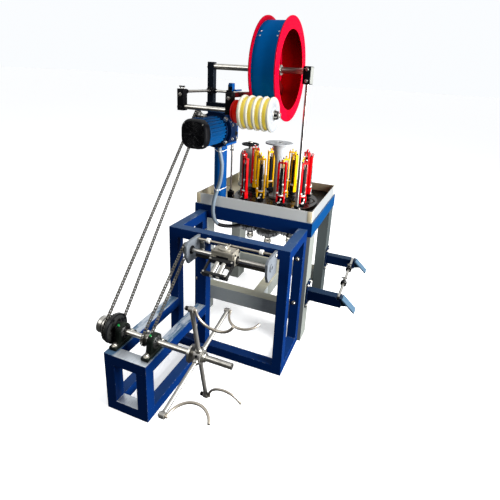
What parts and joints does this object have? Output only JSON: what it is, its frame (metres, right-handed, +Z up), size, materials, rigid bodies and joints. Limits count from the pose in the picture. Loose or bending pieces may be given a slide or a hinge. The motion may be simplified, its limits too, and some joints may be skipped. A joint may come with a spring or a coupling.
{
  "type": "cord braiding machine",
  "caption": "Floor-standing cord braider with a ring of red and yellow bobbin carriers, a red haul-off drum and a chain-driven reel in front.",
  "frame": {"origin": "on the floor, under the middle of the machine's box", "axes": "+Z up; +X to the machine's right, seen from the reel; +Y from the reel to the table's back"},
  "size_m": [1.0336, 1.5912, 1.731],
  "materials": {
    "navy_paint": "satin",
    "leg_paint": "satin",
    "tray_paint": "satin",
    "machined_steel": "machined",
    "greasy_iron": "oiled",
    "bright_steel": "polished",
    "red_paint": "gloss",
    "yellow_paint": "gloss",
    "drum_paint": "gloss",
    "dark_red_paint": "satin",
    "black_plastic": "moulded",
    "blue_paint": "satin",
    "grey_paint": "satin",
    "black_paint": "satin",
    "lining": "woven",
    "white_nylon": "turned",
    "chain_steel": "oiled",
    "belt_rubber": "matt",
    "conduit_sheath": "matt"
  },
  "bodies": {
    "machine": {"table_frame": "navy_paint", "table_legs": "leg_paint", "drip_tray": "tray_paint", "track_plate": "machined_steel", "bed_plate": "greasy_iron", "core_tube": "bright_steel", "red_carriers": "red_paint", "yellow_carriers": "yellow_paint", "bobbins": "black_plastic", "gate_frame": "navy_paint", "winder_frame": "navy_paint", "frame_bolts": "bright_steel", "column": "blue_paint", "worm_gearbox": "blue_paint", "haul_motor": "blue_paint", "motor_fan_cover": "black_paint", "drum_post": "navy_paint", "drum_axle": "bright_steel", "axle_stand": "black_paint", "roller_bracket": "black_paint", "winder_chain": "chain_steel", "traverse_chain": "chain_steel", "pillow_blocks": "black_paint", "traverse_plates": "tray_paint", "traverse_rails": "bright_steel", "payoff_arms": "navy_paint", "stop_rod": "black_paint", "main_motor": "grey_paint", "drive_belt": "belt_rubber", "motor_conduit": "conduit_sheath"},
    "head_drive": {"handwheel": "black_paint", "motor_pulley": "machined_steel"},
    "capstan": {"drum_rim": "drum_paint", "drum_lining": "lining", "drum_spider": "dark_red_paint"},
    "separator": {"roller_shaft": "bright_steel", "grooved_roller": "white_nylon", "roller_disc": "red_paint"},
    "gearbox_output": {"drive_sprocket": "machined_steel"},
    "winder": {"winder_shaft": "bright_steel", "slip_clutch": "machined_steel", "reel_arms": "bright_steel"},
    "traverse_drive": {"traverse_shaft": "bright_steel"},
    "carriage": {"traverse_carriage": "machined_steel"},
    "lever": {"reverse_lever": "machined_steel"},
    "roller_1": {"guide_roller_1": "bright_steel"},
    "roller_2": {"guide_roller_2": "bright_steel"},
    "payoff": {"payoff_rod": "bright_steel"},
    "horn_1": {"horn_gear_1": "greasy_iron"},
    "horn_2": {"horn_gear_2": "greasy_iron"},
    "horn_3": {"horn_gear_3": "greasy_iron"},
    "horn_4": {"horn_gear_4": "greasy_iron"},
    "horn_5": {"horn_gear_5": "greasy_iron"},
    "horn_6": {"horn_gear_6": "greasy_iron"},
    "horn_7": {"horn_gear_7": "greasy_iron"},
    "horn_8": {"horn_gear_8": "greasy_iron"},
    "hook_1": {"reel_hook_1": "bright_steel"},
    "hook_2": {"reel_hook_2": "bright_steel"},
    "hook_3": {"reel_hook_3": "bright_steel"},
    "hook_4": {"reel_hook_4": "bright_steel"}
  },
  "joints": [
    {"name": "horn_1_spin", "type": "hinge", "parent": "machine", "child": "horn_1", "pos_m": [0.10263, 0.49852, 0.6], "axis": [0, 0, 1], "continuous": true},
    {"name": "horn_2_spin", "type": "hinge", "parent": "machine", "child": "horn_2", "pos_m": [0.03682, 0.61165, 0.6], "axis": [0, 0, 1], "continuous": true},
    {"name": "horn_3_spin", "type": "hinge", "parent": "machine", "child": "horn_3", "pos_m": [-0.08972, 0.64511, 0.6], "axis": [0, 0, 1], "continuous": true},
    {"name": "horn_4_spin", "type": "hinge", "parent": "machine", "child": "horn_4", "pos_m": [-0.20284, 0.57929, 0.6], "axis": [0, 0, 1], "continuous": true},
    {"name": "horn_5_spin", "type": "hinge", "parent": "machine", "child": "horn_5", "pos_m": [-0.2363, 0.45276, 0.6], "axis": [0, 0, 1], "continuous": true},
    {"name": "horn_6_spin", "type": "hinge", "parent": "machine", "child": "horn_6", "pos_m": [-0.17048, 0.33964, 0.6], "axis": [0, 0, 1], "continuous": true},
    {"name": "horn_7_spin", "type": "hinge", "parent": "machine", "child": "horn_7", "pos_m": [-0.04395, 0.30618, 0.6], "axis": [0, 0, 1], "continuous": true},
    {"name": "horn_8_spin", "type": "hinge", "parent": "machine", "child": "horn_8", "pos_m": [0.06917, 0.37199, 0.6], "axis": [0, 0, 1], "continuous": true},
    {"name": "handwheel_spin", "type": "hinge", "parent": "machine", "child": "head_drive", "pos_m": [-0.33583, 0.68064, 1], "axis": [0, 0, 1], "continuous": true},
    {"name": "drum_spin", "type": "hinge", "parent": "machine", "child": "capstan", "pos_m": [-0.01483, 0.23764, 1.484], "axis": [1, 0, 0], "continuous": true},
    {"name": "separator_spin", "type": "hinge", "parent": "machine", "child": "separator", "pos_m": [-0.01683, -0.03636, 1.29], "axis": [1, 0, 0], "continuous": true},
    {"name": "winder_spin", "type": "hinge", "parent": "machine", "child": "winder", "pos_m": [-0.01683, -0.52836, 0.348], "axis": [1, 0, 0], "continuous": true},
    {"name": "output_spin", "type": "hinge", "parent": "machine", "child": "gearbox_output", "pos_m": [-0.45883, 0.20664, 1.225], "axis": [1, 0, 0], "continuous": true},
    {"name": "traverse_shaft_spin", "type": "hinge", "parent": "machine", "child": "traverse_drive", "pos_m": [-0.06683, -0.21036, 0.64], "axis": [1, 0, 0], "continuous": true},
    {"name": "carriage_slide", "type": "slide", "parent": "machine", "child": "carriage", "axis": [1, 0, 0], "range_m": [-0.085, 0.12]},
    {"name": "lever_tip", "type": "hinge", "parent": "carriage", "child": "lever", "pos_m": [-0.06683, -0.21036, 0.69], "axis": [0, 0, 1], "range_deg": [-24, 24]},
    {"name": "guide_roller_1_spin", "type": "hinge", "parent": "carriage", "child": "roller_1", "pos_m": [-0.08283, -0.27932, 0.61381], "axis": [0, 0.8829, 0.4695], "continuous": true},
    {"name": "guide_roller_2_spin", "type": "hinge", "parent": "carriage", "child": "roller_2", "pos_m": [-0.05083, -0.27932, 0.61381], "axis": [0, 0.8829, 0.4695], "continuous": true},
    {"name": "hook_1_turn", "type": "hinge", "parent": "winder", "child": "hook_1", "pos_m": [-0.01683, -0.5873, 0.60328], "axis": [1, 0, 0], "range_deg": [-90, 90]},
    {"name": "hook_2_turn", "type": "hinge", "parent": "winder", "child": "hook_2", "pos_m": [-0.01683, -0.78364, 0.28906], "axis": [1, 0, 0], "range_deg": [-90, 90]},
    {"name": "hook_3_turn", "type": "hinge", "parent": "winder", "child": "hook_3", "pos_m": [-0.01683, -0.46942, 0.09272], "axis": [1, 0, 0], "range_deg": [-90, 90]},
    {"name": "hook_4_turn", "type": "hinge", "parent": "winder", "child": "hook_4", "pos_m": [-0.01683, -0.27307, 0.40694], "axis": [1, 0, 0], "range_deg": [-90, 90]},
    {"name": "payoff_rod_spin", "type": "hinge", "parent": "machine", "child": "payoff", "pos_m": [0.41817, 0.48564, 0.314], "axis": [0, 1, 0], "continuous": true}
  ],
  "couplings": [
    {"joint": "handwheel_spin", "follows": "horn_4_spin", "ratio": 1.5},
    {"joint": "horn_1_spin", "follows": "horn_4_spin", "ratio": -1},
    {"joint": "horn_2_spin", "follows": "horn_4_spin", "ratio": 1},
    {"joint": "horn_3_spin", "follows": "horn_4_spin", "ratio": -1},
    {"joint": "horn_5_spin", "follows": "horn_4_spin", "ratio": -1},
    {"joint": "horn_6_spin", "follows": "horn_4_spin", "ratio": 1},
    {"joint": "horn_7_spin", "follows": "horn_4_spin", "ratio": -1},
    {"joint": "horn_8_spin", "follows": "horn_4_spin", "ratio": 1},
    {"joint": "output_spin", "follows": "winder_spin", "ratio": 1.9333},
    {"joint": "traverse_shaft_spin", "follows": "winder_spin", "ratio": 1.1538}
  ]
}
